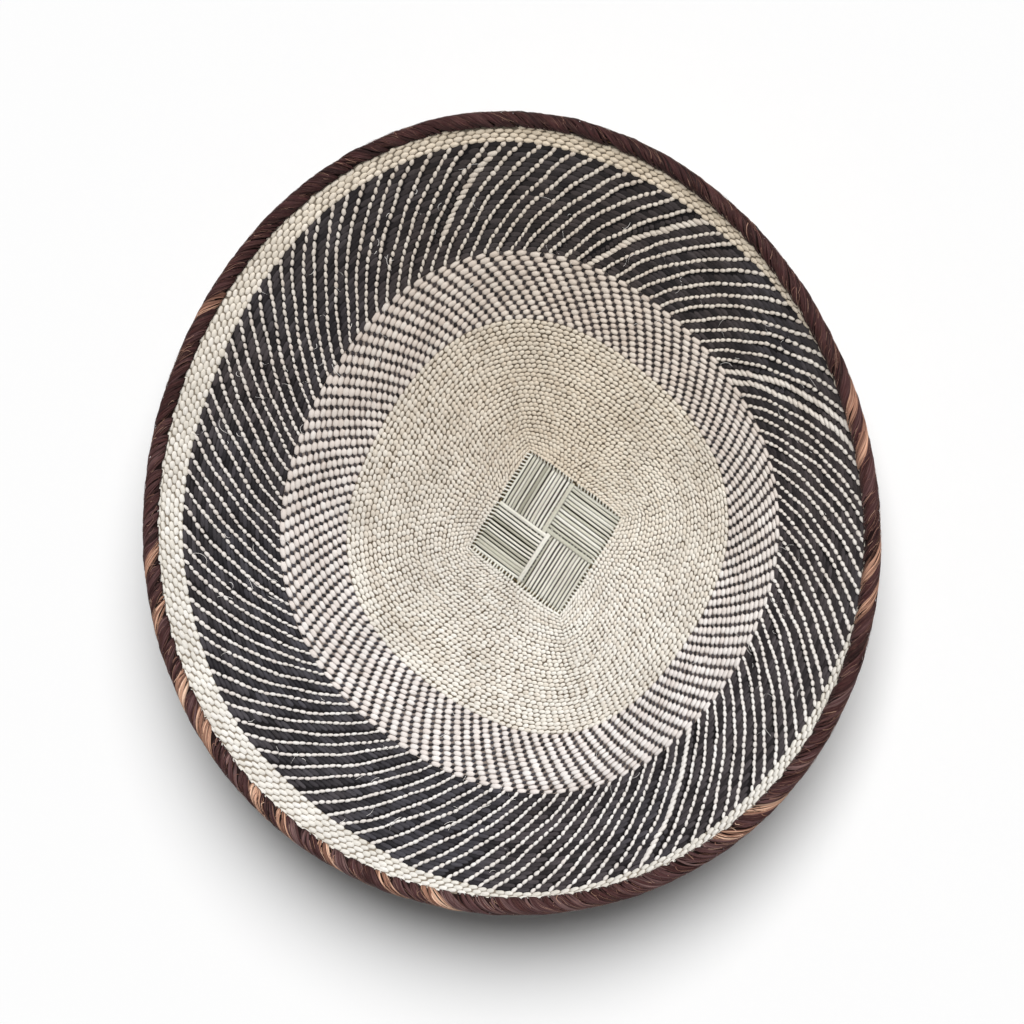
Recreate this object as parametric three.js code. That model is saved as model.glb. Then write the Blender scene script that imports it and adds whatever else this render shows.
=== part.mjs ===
// Woven wall plate: a shallow twined bowl with a square plaited base and a bound rim.
// Millimetres, +Z up. The plate lies on its base with the decorated face up.
// The origin is on the resting plane, under the middle of the rim's outline.
import * as THREE from 'three';

// Overall form.
const WALL_RISE = 63; // height that the wall climbs from base to rim
const WALL_CURVE = 1.77; // 1 is a straight cone, larger is flatter near the base

// The rim stands off the base's centre and is a little three-lobed, as woven by hand.
const RIM_SHIFT = 12;
const RIM_SHIFT_AT = 124; // degrees
const RIM_SHIFT_POWER = 1.3;
const RIM_LOBE = 3.2;
const RIM_LOBE_AT = -29; // degrees
const CORNER_SWELL = 4.4; // how far the rows still bulge over the base's corners
const SQUARE_FADE_LENGTH = 14; // over which the rows turn from square to round

// Square base of four crossing bundles of strips.
const BASE_SIDE = 66.5;
const CORNER_AT = 10.4; // degrees, direction of the base's first corner
const STRIP_PAIRS = 7; // pairs of strips side by side in one bundle
const STRIP_THICKNESS = 1.1;
const STRIP_GAP = 0.35; // between neighbouring pairs
const GROOVE_DEPTH = 0.45; // between the two strips of a pair
const BUNDLE_GAP = 2.4; // slot that the other bundles pass through

// Wall: warps between two faces of weft.
const WARP_THICKNESS = 1;
const WEFT_THICKNESS = 1.2;
const FAN_GAP = 0.5; // between neighbouring fans of warps

// Weft bands from the base outwards, seen from above. They set the plate's radius.
const CENTRE_BAND_WIDTH = 79;
const CHECKER_BAND_WIDTH = 36.7;
const DARK_BAND_WIDTH = 50.5; // where the border is widest
const BORDER_WIDTH = 14.1; // where it is widest
const BORDER_TUCKED_WIDTH = 2.1; // where it slips under the rim
// The border round the plate: direction in degrees, and 0 for tucked to 1 for widest.
const BORDER_SHAPE = [
  [0, 0],
  [28, 0],
  [40, 0.33],
  [52, 0.58],
  [70, 0.66],
  [92, 0.51],
  [118, 0.67],
  [136, 0.83],
  [156, 1],
  [176, 0.96],
  [198, 1],
  [210, 0.9],
  [226, 1],
  [240, 0.91],
  [256, 0.56],
  [274, 0.24],
  [298, 0.41],
  [322, 0.56],
  [338, 0.46],
  [350, 0.04],
];
const BAND_STEPS = { centre: 4, checker: 2, dark: 3, border: 1 };

// Rim: a hoop on the wall's edge, bound over with strips.
const HOOP_RADIUS = 2.7;
const HOOP_SIDES = 8;
const BINDING_THICKNESS = 1.4;
const BINDING_GRIP = 3; // how far the binding reaches down both faces of the wall
// Where a tan strip shows in the binding: first and last direction in degrees.
const TAN_ANGLES = [
  [9, 18],
  [141, 152],
  [184, 195],
  [204, 216],
  [225, 241],
  [249, 260],
  [309, 318],
];

const CLEARANCE = 0.3;
const SEGMENTS = 64; // around the plate
const SLOPE_STEP = 0.5; // for measuring the wall's slope

const rad = THREE.MathUtils.degToRad;

const COLOURS = {
  strip: 0xbfbd9e,
  warp: 0xc9b68f,
  cream: 0xe0d7c5,
  checker: 0xb4aca2,
  charcoal: 0x37343a,
  border: 0xe6ddcb,
  hoop: 0x8a6a49,
  bark: 0x432b27,
  tan: 0xbd8459,
};

// The wall's surface.

// Mean radius of a square measured from its centre, as a share of half its side.
const SQUARE_MEAN = (4 / Math.PI) * Math.log(1 + Math.SQRT2);
const baseRadius = (BASE_SIDE / 2) * SQUARE_MEAN;
const wallHalf = WARP_THICKNESS / 2 + CLEARANCE + WEFT_THICKNESS;
const wallStart = baseRadius + CLEARANCE;
const centreEnd = baseRadius + CENTRE_BAND_WIDTH;
const checkerEnd = centreEnd + CHECKER_BAND_WIDTH;
const wallEdge = checkerEnd + DARK_BAND_WIDTH + BORDER_WIDTH;
const hoopCentre = HOOP_RADIUS + CLEARANCE;
const rimRadius = wallEdge + 2 * hoopCentre + BINDING_THICKNESS;

const climb = (ring) => Math.max(0, (ring - baseRadius) / (rimRadius - baseRadius));

function squareRadius(angle) {
  const turn = angle - rad(CORNER_AT + 45);
  return BASE_SIDE / 2 / Math.max(Math.abs(Math.cos(turn)), Math.abs(Math.sin(turn)));
}

// Distance from the base's centre to a row, seen from above.
function rowRadius(angle, ring) {
  const t = climb(ring);
  const shift = RIM_SHIFT * t ** RIM_SHIFT_POWER * Math.cos(angle - rad(RIM_SHIFT_AT));
  const lobe = RIM_LOBE * t * t * Math.cos(3 * (angle - rad(RIM_LOBE_AT)));
  const swell = CORNER_SWELL * (1 - t * t) * Math.cos(4 * (angle - rad(CORNER_AT)));
  const round = ring + shift + lobe + swell;
  const square = squareRadius(angle) + ring - baseRadius;
  const squareness = Math.exp(-(ring - baseRadius) / SQUARE_FADE_LENGTH);
  return square * squareness + round * (1 - squareness);
}

const wallHeight = (ring) => wallHalf + WALL_RISE * climb(ring) ** WALL_CURVE;

// A place on the wall: the direction, the row's mean radius, the distance in from the
// wall's middle surface, and the distance on past the row along the slope.
function wallPoint(angle, ring, inward, along = 0) {
  const here = new THREE.Vector2(rowRadius(angle, ring), wallHeight(ring));
  const next = ring + SLOPE_STEP;
  const slope = new THREE.Vector2(rowRadius(angle, next), wallHeight(next)).sub(here).normalize();
  const radius = here.x - inward * slope.y + along * slope.x;
  const height = here.y + inward * slope.x + along * slope.y;
  return new THREE.Vector3(radius * Math.cos(angle), radius * Math.sin(angle), height);
}

// Two ways to see a section flat, so that its end can be capped.
const seenAlongX = (point) => new THREE.Vector2(point.y, point.z);
const seenAroundZ = (point) => new THREE.Vector2(Math.hypot(point.x, point.y), point.z);

// The triangles of a flat outline, turned the way the outline runs.
function fill(outline) {
  const faces = THREE.ShapeUtils.triangulateShape(outline, []);
  return THREE.ShapeUtils.isClockWise(outline) ? faces.map(([p, q, r]) => [p, r, q]) : faces;
}

// Joins a list of equal sections into one closed solid. Sections that go all the way
// round close on themselves; otherwise both ends are capped.
function loft(sections, flatten = null) {
  const count = sections[0].length;
  const index = [];
  const joins = flatten ? sections.length - 1 : sections.length;
  for (let i = 0; i < joins; i += 1) {
    const a = i * count;
    const b = ((i + 1) % sections.length) * count;
    for (let j = 0; j < count; j += 1) {
      const k = (j + 1) % count;
      index.push(a + j, b + j, b + k, a + j, b + k, a + k);
    }
  }
  if (flatten) {
    const last = (sections.length - 1) * count;
    for (const [p, q, r] of fill(sections[0].map(flatten))) index.push(p, q, r);
    for (const [p, q, r] of fill(sections.at(-1).map(flatten))) index.push(last + p, last + r, last + q);
  }
  const geometry = new THREE.BufferGeometry().setFromPoints(sections.flat());
  geometry.setIndex(index);
  return faceOut(geometry);
}

// Turns the triangles round if they face inwards.
function faceOut(geometry) {
  const place = geometry.getAttribute('position');
  const index = geometry.getIndex().array;
  const corner = (i) => new THREE.Vector3().fromBufferAttribute(place, index[i]);
  let volume = 0;
  for (let i = 0; i < index.length; i += 3) {
    volume += corner(i).dot(corner(i + 1).cross(corner(i + 2)));
  }
  if (volume < 0) geometry.setIndex(Array.from(index).reverse());
  geometry.computeVertexNormals();
  return geometry;
}

const plate = new THREE.Group();

function addPiece(name, geometry, colour, roughness) {
  const material = new THREE.MeshStandardMaterial({ color: colour, roughness, metalness: 0 });
  const mesh = new THREE.Mesh(geometry, material);
  mesh.name = name;
  plate.add(mesh);
}

const gridAngle = (i) => rad(CORNER_AT) + (i * 2 * Math.PI) / SEGMENTS;

// Base: four bundles, each over one crossing bundle and under the other.

function stripOutline(width) {
  const edge = STRIP_THICKNESS - GROOVE_DEPTH / 2;
  const points = [
    [-width / 2, 0],
    [width / 2, 0],
    [width / 2, edge],
    [width / 4, STRIP_THICKNESS],
    [0, STRIP_THICKNESS - GROOVE_DEPTH],
    [-width / 4, STRIP_THICKNESS],
    [-width / 2, edge],
  ];
  return points.map(([x, y]) => new THREE.Vector2(x, y));
}

// A pair of strips along x: high at its positive end when overFirst, else at the other.
function stripPair(width, overFirst) {
  const outline = stripOutline(width);
  const high = STRIP_THICKNESS + CLEARANCE;
  const end = BASE_SIDE / 2;
  const stations = [
    [-end, overFirst ? 0 : high],
    [-BUNDLE_GAP / 2, overFirst ? 0 : high],
    [BUNDLE_GAP / 2, overFirst ? high : 0],
    [end, overFirst ? high : 0],
  ];
  const sections = stations.map(([x, lift]) => outline.map((p) => new THREE.Vector3(x, p.x, lift + p.y)));
  return loft(sections, seenAlongX);
}

function addBase() {
  const bundleWidth = (BASE_SIDE - BUNDLE_GAP) / 2;
  const pitch = bundleWidth / STRIP_PAIRS;
  const bundles = [
    { name: 'a1', run: 45, side: 1, overFirst: true },
    { name: 'a2', run: 45, side: -1, overFirst: false },
    { name: 'b1', run: 135, side: -1, overFirst: false },
    { name: 'b2', run: 135, side: 1, overFirst: true },
  ];
  for (const bundle of bundles) {
    for (let i = 0; i < STRIP_PAIRS; i += 1) {
      const across = bundle.side * (BUNDLE_GAP / 2 + (i + 0.5) * pitch);
      const geometry = stripPair(pitch - STRIP_GAP, bundle.overFirst);
      geometry.translate(0, across, 0);
      geometry.rotateZ(rad(CORNER_AT + bundle.run));
      addPiece(`base_strips_${bundle.name}_${i + 1}`, geometry, COLOURS.strip, 0.62);
    }
  }
}

// Wall. Each band runs between two edges that are functions of the direction.
const bandEdges = {
  centre: [() => wallStart, () => centreEnd],
  checker: [() => centreEnd, () => checkerEnd],
  dark: [() => checkerEnd, borderStart],
  border: [borderStart, () => wallEdge],
};

function borderStart(angle) {
  return wallEdge - BORDER_TUCKED_WIDTH - (BORDER_WIDTH - BORDER_TUCKED_WIDTH) * borderShare(angle);
}

// Between two listed directions the border's width eases from one to the other.
function borderShare(angle) {
  const at = THREE.MathUtils.euclideanModulo(THREE.MathUtils.radToDeg(angle), 360);
  const next = BORDER_SHAPE.findIndex(([direction]) => direction > at);
  const last = BORDER_SHAPE.length - 1;
  const [from, low] = BORDER_SHAPE[next > 0 ? next - 1 : last];
  const [to, high] = next > 0 ? BORDER_SHAPE[next] : [360 + BORDER_SHAPE[0][0], BORDER_SHAPE[0][1]];
  const ease = (1 - Math.cos((Math.PI * (at - from)) / (to - from))) / 2;
  return low + (high - low) * ease;
}

// Rings of one band from its inner to its outer edge, kept clear of its neighbours.
function bandRings(band, angle, trimStart, trimEnd) {
  const [from, to] = bandEdges[band];
  const start = from(angle) + trimStart;
  const end = to(angle) - trimEnd;
  const steps = BAND_STEPS[band];
  return Array.from({ length: steps + 1 }, (_, i) => start + ((end - start) * i) / steps);
}

// Section of a sheet through the wall: out along one face and back along the other.
const sheetSection = (angle, rings, low, high) => [
  ...rings.map((ring) => wallPoint(angle, ring, low)),
  ...rings.map((ring) => wallPoint(angle, ring, high)).reverse(),
];

function addWeft(band, face, colour) {
  const near = WARP_THICKNESS / 2 + CLEARANCE;
  const [low, high] = face === 'inner' ? [near, wallHalf] : [-wallHalf, -near];
  const trimStart = band === 'centre' ? 0 : CLEARANCE / 2;
  const trimEnd = band === 'border' ? 0 : CLEARANCE / 2;
  const sections = [];
  for (let i = 0; i < SEGMENTS; i += 1) {
    const angle = gridAngle(i);
    sections.push(sheetSection(angle, bandRings(band, angle, trimStart, trimEnd), low, high));
  }
  addPiece(`weft_${band}_${face}`, loft(sections), colour, 0.7);
}

// The warps of one half of a base side, spread out as a fan up to the rim.
function addWarpFan(number) {
  const fans = 8;
  const span = SEGMENTS / fans;
  const sections = [];
  const allRings = (angle) => {
    const lists = Object.keys(bandEdges).map((band) => bandRings(band, angle, 0, 0));
    return lists.flatMap((list, i) => (i ? list.slice(1) : list));
  };
  for (let i = 0; i <= span; i += 1) {
    const angle = gridAngle(number * span + i);
    const rings = allRings(angle);
    const side = i === 0 ? 1 : i === span ? -1 : 0;
    const half = WARP_THICKNESS / 2;
    const section = [];
    for (const [inward, order] of [[-half, rings], [half, [...rings].reverse()]]) {
      for (const ring of order) {
        const turn = (side * FAN_GAP) / 2 / rowRadius(angle, ring);
        section.push(wallPoint(angle + turn, ring, inward));
      }
    }
    sections.push(section);
  }
  addPiece(`warp_fan_${number + 1}`, loft(sections, seenAroundZ), COLOURS.warp, 0.75);
}

// Outline of the binding across the rim: a hood over the hoop that grips the wall.
function bindingOutline() {
  const steps = 6;
  const lean = 20; // degrees below the hoop's middle where the legs begin
  const flat = Math.cos(rad(90 + lean) / steps);
  const cavity = hoopCentre / flat; // its flats clear the hoop
  const shell = cavity + BINDING_THICKNESS;
  const leg = wallHalf + CLEARANCE;
  const arc = (radius, from, to, count) =>
    Array.from({ length: count + 1 }, (_, i) => {
      const angle = rad(from + ((to - from) * i) / count);
      return new THREE.Vector2(radius * Math.cos(angle), hoopCentre + radius * Math.sin(angle));
    });
  return [
    new THREE.Vector2(leg + BINDING_THICKNESS, -BINDING_GRIP),
    ...arc(shell, -lean, 180 + lean, steps),
    new THREE.Vector2(-leg - BINDING_THICKNESS, -BINDING_GRIP),
    new THREE.Vector2(-leg, -BINDING_GRIP),
    ...arc(cavity, 180 + lean, -lean, steps),
    new THREE.Vector2(leg, -BINDING_GRIP),
  ];
}

const rimSection = (outline, angle) => outline.map((p) => wallPoint(angle, wallEdge, p.x, p.y));

function addHoop() {
  const outline = Array.from({ length: HOOP_SIDES }, (_, i) => {
    const angle = ((i + 0.5) * 2 * Math.PI) / HOOP_SIDES;
    const x = HOOP_RADIUS * Math.cos(angle);
    return new THREE.Vector2(x, hoopCentre + HOOP_RADIUS * Math.sin(angle));
  });
  const sections = [];
  for (let i = 0; i < SEGMENTS; i += 1) sections.push(rimSection(outline, gridAngle(i)));
  addPiece('rim_hoop', loft(sections), COLOURS.hoop, 0.8);
}

// One length of the binding between two of the plate's segments.
function addBinding(name, first, last, colour) {
  const outline = bindingOutline();
  const trim = CLEARANCE / 2 / rimRadius;
  const sections = [];
  for (let i = first; i <= last; i += 1) {
    const inset = i === first ? trim : i === last ? -trim : 0;
    sections.push(rimSection(outline, gridAngle(i) + inset));
  }
  addPiece(name, loft(sections, seenAroundZ), colour, 0.5);
}

function addBindings() {
  const nearest = (degrees) => Math.round(((degrees - CORNER_AT) * SEGMENTS) / 360);
  TAN_ANGLES.forEach(([from, to], i) => {
    const next = TAN_ANGLES[(i + 1) % TAN_ANGLES.length][0];
    const lap = next < to ? 360 : 0;
    addBinding(`rim_binding_tan_${i + 1}`, nearest(from), nearest(to), COLOURS.tan);
    addBinding(`rim_binding_bark_${i + 1}`, nearest(to), nearest(next + lap), COLOURS.bark);
  });
}

addBase();
addWeft('centre', 'inner', COLOURS.cream);
addWeft('centre', 'outer', COLOURS.cream);
addWeft('checker', 'inner', COLOURS.checker);
addWeft('checker', 'outer', COLOURS.checker);
addWeft('dark', 'inner', COLOURS.charcoal);
addWeft('dark', 'outer', COLOURS.charcoal);
addWeft('border', 'inner', COLOURS.border);
addWeft('border', 'outer', COLOURS.border);
for (let i = 0; i < 8; i += 1) addWarpFan(i);
addHoop();
addBindings();

// Bring the middle of the outline over the origin.
const middle = new THREE.Box3().setFromObject(plate).getCenter(new THREE.Vector3());
for (const mesh of plate.children) mesh.geometry.translate(-middle.x, -middle.y, 0);

export default plate;
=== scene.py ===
"""Looks of the woven wall plate: every twined stitch, plaited base strip and rim wrap.

Sizes named in capitals are millimetres and degrees unless a comment says otherwise.
The wall's surface follows the same sizes as the part's source.
"""

import math

import bpy
import numpy as np
from mathutils import Matrix, Vector


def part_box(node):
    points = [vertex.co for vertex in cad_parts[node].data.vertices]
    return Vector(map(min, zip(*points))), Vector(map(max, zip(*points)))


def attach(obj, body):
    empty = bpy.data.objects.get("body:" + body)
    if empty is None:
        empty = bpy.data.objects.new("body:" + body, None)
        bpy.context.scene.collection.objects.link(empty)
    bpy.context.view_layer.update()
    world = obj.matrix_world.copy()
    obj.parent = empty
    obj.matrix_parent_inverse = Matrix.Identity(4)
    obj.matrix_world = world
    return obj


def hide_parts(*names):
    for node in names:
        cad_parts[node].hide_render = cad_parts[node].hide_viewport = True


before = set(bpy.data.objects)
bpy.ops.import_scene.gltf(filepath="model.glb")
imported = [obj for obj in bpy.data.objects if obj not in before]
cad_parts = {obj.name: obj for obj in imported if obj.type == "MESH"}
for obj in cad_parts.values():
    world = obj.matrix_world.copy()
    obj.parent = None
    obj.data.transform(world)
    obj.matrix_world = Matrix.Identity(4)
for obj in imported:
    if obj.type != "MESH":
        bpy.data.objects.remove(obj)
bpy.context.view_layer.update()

MM = 0.001
SEED = 20

# The wall, as in the part's source.
WALL_RISE = 63
WALL_CURVE = 1.77
RIM_SHIFT = 12
RIM_SHIFT_AT = 124
RIM_SHIFT_POWER = 1.3
RIM_LOBE = 3.2
RIM_LOBE_AT = -29
CORNER_SWELL = 4.4
SQUARE_FADE_LENGTH = 14
BASE_SIDE = 66.5
CORNER_AT = 10.4
STRIP_THICKNESS = 1.1
BUNDLE_GAP = 2.4
WARP_THICKNESS = 1
WEFT_THICKNESS = 1.2
CENTRE_BAND_WIDTH = 79
CHECKER_BAND_WIDTH = 36.7
DARK_BAND_WIDTH = 50.5
BORDER_WIDTH = 14.1
BORDER_TUCKED_WIDTH = 2.1
# The border round the plate: direction in degrees, and 0 for tucked to 1 for widest.
BORDER_SHAPE = [
    (0, 0), (28, 0), (40, 0.33), (52, 0.58), (70, 0.66), (92, 0.51), (118, 0.67),
    (136, 0.83), (156, 1), (176, 0.96), (198, 1), (210, 0.9), (226, 1), (240, 0.91),
    (256, 0.56), (274, 0.24), (298, 0.41), (322, 0.56), (338, 0.46), (350, 0.04), (360, 0),
]
HOOP_RADIUS = 2.7
BINDING_THICKNESS = 1.4
CLEARANCE = 0.3
SLOPE_STEP = 0.5

SQUARE_MEAN = (4 / math.pi) * math.log(1 + math.sqrt(2))
BASE_RADIUS = BASE_SIDE / 2 * SQUARE_MEAN
WALL_HALF = WARP_THICKNESS / 2 + CLEARANCE + WEFT_THICKNESS
WALL_START = BASE_RADIUS + CLEARANCE
CENTRE_END = BASE_RADIUS + CENTRE_BAND_WIDTH
CHECKER_END = CENTRE_END + CHECKER_BAND_WIDTH
WALL_EDGE = CHECKER_END + DARK_BAND_WIDTH + BORDER_WIDTH
HOOP_CENTRE = HOOP_RADIUS + CLEARANCE
RIM_RADIUS = WALL_EDGE + 2 * HOOP_CENTRE + BINDING_THICKNESS

# The weave.
CENTRE_ROWS = 32
CHECKER_ROWS = 14
DARK_ROWS = 23
BORDER_ROW_PITCH = 2.25
BASE_WARPS = 112
CENTRE_STITCHES = 180  # round the outermost plain row
COMB_REACH = 1.2  # strip ends seen between the base and the first row
LINES = 121  # cream lines round the dark band, and columns round the checkered ring
LINE_AT = 0.62  # direction of one line's first stitch
COLUMN_AT = 1.51  # direction of the cream stitch that it grows from
LINE_SKEW = -0.355  # degrees that a line turns per millimetre outwards
LINE_SKEW_SWING = 0.11
LINE_SKEW_SWING_AT = -21
LINE_WANDER = 0.13  # how far a line strays to either side, in degrees
# A line's own waves: length in millimetres, share of the line's phase, and height.
LINE_WAVES = [(6.1, 1, 1), (3.3, 2.7, 1), (19, 5.3, 1.6)]
COLUMN_SKEW = 0.253
SPREAD_ONCE = 1.65  # how far the lines stand off an even spacing, once round
SPREAD_ONCE_AT = 16
SPREAD_TWICE = 1.1
SPREAD_TWICE_AT = -35

# The leaf is a little darker towards one direction, as painted shade, and warmer towards another.
PAINTED_SHADE_AT = 122
PAINTED_SHADE_FOCUS = 1.6
PAINTED_SHADE_TINT = (0.84, 0.82, 0.8)
WARM_AT = 72
WARM_FOCUS = 2.5
WARM_TINT = (0.97, 0.92, 0.84)

# The camera, found by fitting the plate's rings to the photo.
PHOTO_SIZE = 1024
BASE_IN_PHOTO = (547.13, 532.46)
CAMERA_PIXELS = 3201  # focal length and distance to the base, in pixels
MM_PER_PIXEL = 0.5776
CAMERA_TILT = 23.44
CAMERA_SIDE = 4.24
CAMERA_ROLL = -0.71
SENSOR = 36

ROUND = np.linspace(0, 2 * math.pi, 361)  # one point a degree, once round the plate

random = np.random.default_rng(SEED)


def rad(degrees):
    return np.radians(degrees)


def apart(first, second):
    """Degrees between two directions, the shorter way round."""
    return np.abs((first - second + 180) % 360 - 180)


def towards(angle, direction, focus):
    """A share that is 1 in a direction given in degrees and 0 opposite to it."""
    return (0.5 + 0.5 * np.cos(angle - rad(direction))) ** focus


def dome(place, flat, edge):
    """1 in the middle and 0 at -1 and 1. More flat widens its top, less edge its foot."""
    return np.clip(1 - np.abs(place) ** flat, 0, 1) ** edge


def each(count, low, high):
    """One random number for each of so many grids, anywhere between two limits."""
    return random.uniform(low, high, (count, 1, 1))


def waver(amounts, count):
    """A function that draws, by name of the amount, how far each grid strays."""
    return lambda name: random.normal(0, amounts[name], (count, 1, 1))


def fibre_map(along, across, serial):
    """Where the fibre pattern runs: along a strip, across it, and which strip it is."""
    return np.stack(np.broadcast_arrays(along, across, serial), axis=-1)


def nodes_named(start):
    return sorted(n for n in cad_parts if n.startswith(start))


def placed(name, data):
    piece = bpy.data.objects.new(name, data)
    bpy.context.scene.collection.objects.link(piece)
    return piece


def dress(piece, material, slot, *nodes):
    piece.data.materials.append(material)
    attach(piece, "root")
    if nodes:
        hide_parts(*nodes)


def base_centre():
    """Where the base's middle stands in the plate's frame, in millimetres."""
    corners = [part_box(n) for n in nodes_named("base_strips")]
    low = np.min([np.array(c[0]) for c in corners], axis=0)
    high = np.max([np.array(c[1]) for c in corners], axis=0)
    middle = (low + high) / 2 / MM
    return np.array([middle[0], middle[1], 0.0])


BASE_AT = base_centre()


# The wall's surface.


def climb(ring):
    return np.clip((ring - BASE_RADIUS) / (RIM_RADIUS - BASE_RADIUS), 0, None)


def square_radius(angle):
    turn = angle - rad(CORNER_AT + 45)
    return BASE_SIDE / 2 / np.maximum(np.abs(np.cos(turn)), np.abs(np.sin(turn)))


def row_radius(angle, ring):
    t = climb(ring)
    shift = RIM_SHIFT * t**RIM_SHIFT_POWER * np.cos(angle - rad(RIM_SHIFT_AT))
    lobe = RIM_LOBE * t * t * np.cos(3 * (angle - rad(RIM_LOBE_AT)))
    swell = CORNER_SWELL * (1 - t * t) * np.cos(4 * (angle - rad(CORNER_AT)))
    round_one = ring + shift + lobe + swell
    square_one = square_radius(angle) + ring - BASE_RADIUS
    squareness = np.exp(-(ring - BASE_RADIUS) / SQUARE_FADE_LENGTH)
    return square_one * squareness + round_one * (1 - squareness)


def wall_height(ring):
    return WALL_HALF + WALL_RISE * climb(ring) ** WALL_CURVE


def wall_point(angle, ring, inward, along=0.0):
    """Points on the wall in the plate's frame, in metres, with a last axis of x, y, z."""
    radius = row_radius(angle, ring)
    height = wall_height(ring)
    step_out = row_radius(angle, ring + SLOPE_STEP) - radius
    step_up = wall_height(ring + SLOPE_STEP) - height
    length = np.hypot(step_out, step_up)
    step_out = step_out / length
    step_up = step_up / length
    radius = radius - inward * step_up + along * step_out
    height = height + inward * step_out + along * step_up
    flat = np.stack([radius * np.cos(angle), radius * np.sin(angle), height], axis=-1)
    return (flat + BASE_AT) * MM


def border_start(angle):
    """Ring where the border begins. Between two listed directions its width eases over."""
    directions, shares = np.array(BORDER_SHAPE, float).T
    at = np.degrees(angle) % 360
    after = np.clip(np.searchsorted(directions, at, side="right"), 1, len(directions) - 1)
    before = after - 1
    turn = math.pi * (at - directions[before]) / (directions[after] - directions[before])
    ease = (1 - np.cos(turn)) / 2
    share = shares[before] + (shares[after] - shares[before]) * ease
    return WALL_EDGE - BORDER_TUCKED_WIDTH - (BORDER_WIDTH - BORDER_TUCKED_WIDTH) * share


BORDER_ROWS = math.ceil(BORDER_WIDTH / BORDER_ROW_PITCH)

BANDS = {
    "centre": (lambda a: WALL_START + COMB_REACH + 0 * a, lambda a: CENTRE_END + 0 * a, CENTRE_ROWS),
    "checker": (lambda a: CENTRE_END + 0 * a, lambda a: CHECKER_END + 0 * a, CHECKER_ROWS),
    "dark": (lambda a: CHECKER_END + 0 * a, border_start, DARK_ROWS),
    "border": (border_start, lambda a: border_start(a) + BORDER_ROWS * BORDER_ROW_PITCH, BORDER_ROWS),
}


def band_ring(band, angle, row):
    """Ring at a row of a band, where row 0 is its inner edge."""
    start, end, rows = BANDS[band]
    low = start(angle)
    return low + (end(angle) - low) * row / rows


# Meshes made of many small grids.

CELL_SPAN = (0.08, 0.92)  # how much of its cell in the texture square a grid fills


def grid_mesh(name, points, attributes, flip=False):
    """One object from many separate grids: points has the axes grid, i, j and x, y, z."""
    count, rows, columns = points.shape[:3]
    first = np.arange(count)[:, None, None] * rows * columns
    i = np.arange(rows - 1)[None, :, None] * columns
    j = np.arange(columns - 1)[None, None, :]
    corner = (first + i + j).reshape(-1)
    quads = np.stack([corner, corner + 1, corner + columns + 1, corner + columns], axis=1)
    if flip:
        quads = quads[:, ::-1]
    mesh = bpy.data.meshes.new(name)
    mesh.vertices.add(count * rows * columns)
    mesh.vertices.foreach_set("co", points.reshape(-1).astype(np.float32))
    mesh.loops.add(quads.size)
    mesh.loops.foreach_set("vertex_index", quads.reshape(-1).astype(np.int32))
    mesh.polygons.add(len(quads))
    mesh.polygons.foreach_set("loop_start", np.arange(0, quads.size, 4, dtype=np.int32))
    mesh.polygons.foreach_set("loop_total", np.full(len(quads), 4, np.int32))
    mesh.polygons.foreach_set("use_smooth", np.ones(len(quads), bool))
    for key, value in attributes.items():
        value = np.asarray(value, float)
        value = np.broadcast_to(value, points.shape[:3] + value.shape[3:])
        kind = "FLOAT_VECTOR" if value.ndim == 4 else "FLOAT"
        layer = mesh.attributes.new(key, kind, "POINT")
        field = "vector" if kind == "FLOAT_VECTOR" else "value"
        layer.data.foreach_set(field, value.reshape(-1).astype(np.float32))
    bake_map(mesh, quads, count, rows, columns)
    mesh.update(calc_edges=True)
    mesh.validate()
    return placed(name, mesh)


def bake_map(mesh, quads, count, rows, columns):
    """Gives each grid a cell of its own in the texture square."""
    side = math.ceil(math.sqrt(count))
    number = np.arange(count)
    cell = np.stack([number % side, number // side], axis=-1)[:, None, None, :]
    u = np.linspace(*CELL_SPAN, rows)[None, :, None]
    v = np.linspace(*CELL_SPAN, columns)[None, None, :]
    place = np.stack(np.broadcast_arrays(u, v), axis=-1)
    place = ((place + cell) / side).reshape(-1, 2)
    layer = mesh.uv_layers.new(name="OFBake")
    layer.data.foreach_set("uv", place[quads.reshape(-1)].reshape(-1).astype(np.float32))


SWAY_SEED = SEED + 3
SWAY_WAVES = 7


def smooth_noise(angle, row):
    """A slow wobble from -1 to 1 over the rows."""
    maker = np.random.default_rng(SWAY_SEED)
    total = 0
    for _ in range(SWAY_WAVES):
        turns = maker.integers(2, 19)
        drift = maker.uniform(-0.5, 0.5)
        phase = maker.uniform(0, 2 * math.pi)
        total = total + np.sin(turns * angle + drift * row + phase)
    return total / SWAY_WAVES


# One stitch of the weft. The outer face, side -1, has fewer points along each stitch.

FACES = {"inner": 1, "outer": -1}
# How far from the wall's middle a stitch's crown, its edges and the core behind it lie.
STITCH_HIGH = WALL_HALF + 0.18
STITCH_LOW = WALL_HALF - 1.1
CORE_DEPTH = WALL_HALF - 0.95
STITCH_ALONG = {
    1: np.array([-1, -0.84, -0.45, 0, 0.45, 0.84, 1]),
    -1: np.array([-1, -0.7, 0, 0.7, 1]),
}
STITCH_ACROSS = np.array([-1, -0.72, 0, 0.72, 1])
STITCH_TIP = 0.2  # width at a stitch's ends, as a share of its full width
STITCH_EDGE = 0.55
CREST_FLAT = 2.2
CREST_EDGE = 0.6
ROW_SWAY = 0.16  # how far whole rows stray, in rows
STITCH_FIBRES = 1.25  # half a stitch's width in the fibre pattern
SERIALS = 50  # the numbers up to this one give strips of leaf fibres of their own
PALE_TONES = (0.3, 1)
# How far single stitches stray: the row in rows, the rest as shares of the measure.
STITCH_WAVER = {
    "length": 0.07, "at": 0.07, "slant": 0.18, "fill": 0.09, "row": 0.04, "high": 0.05,
}


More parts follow.
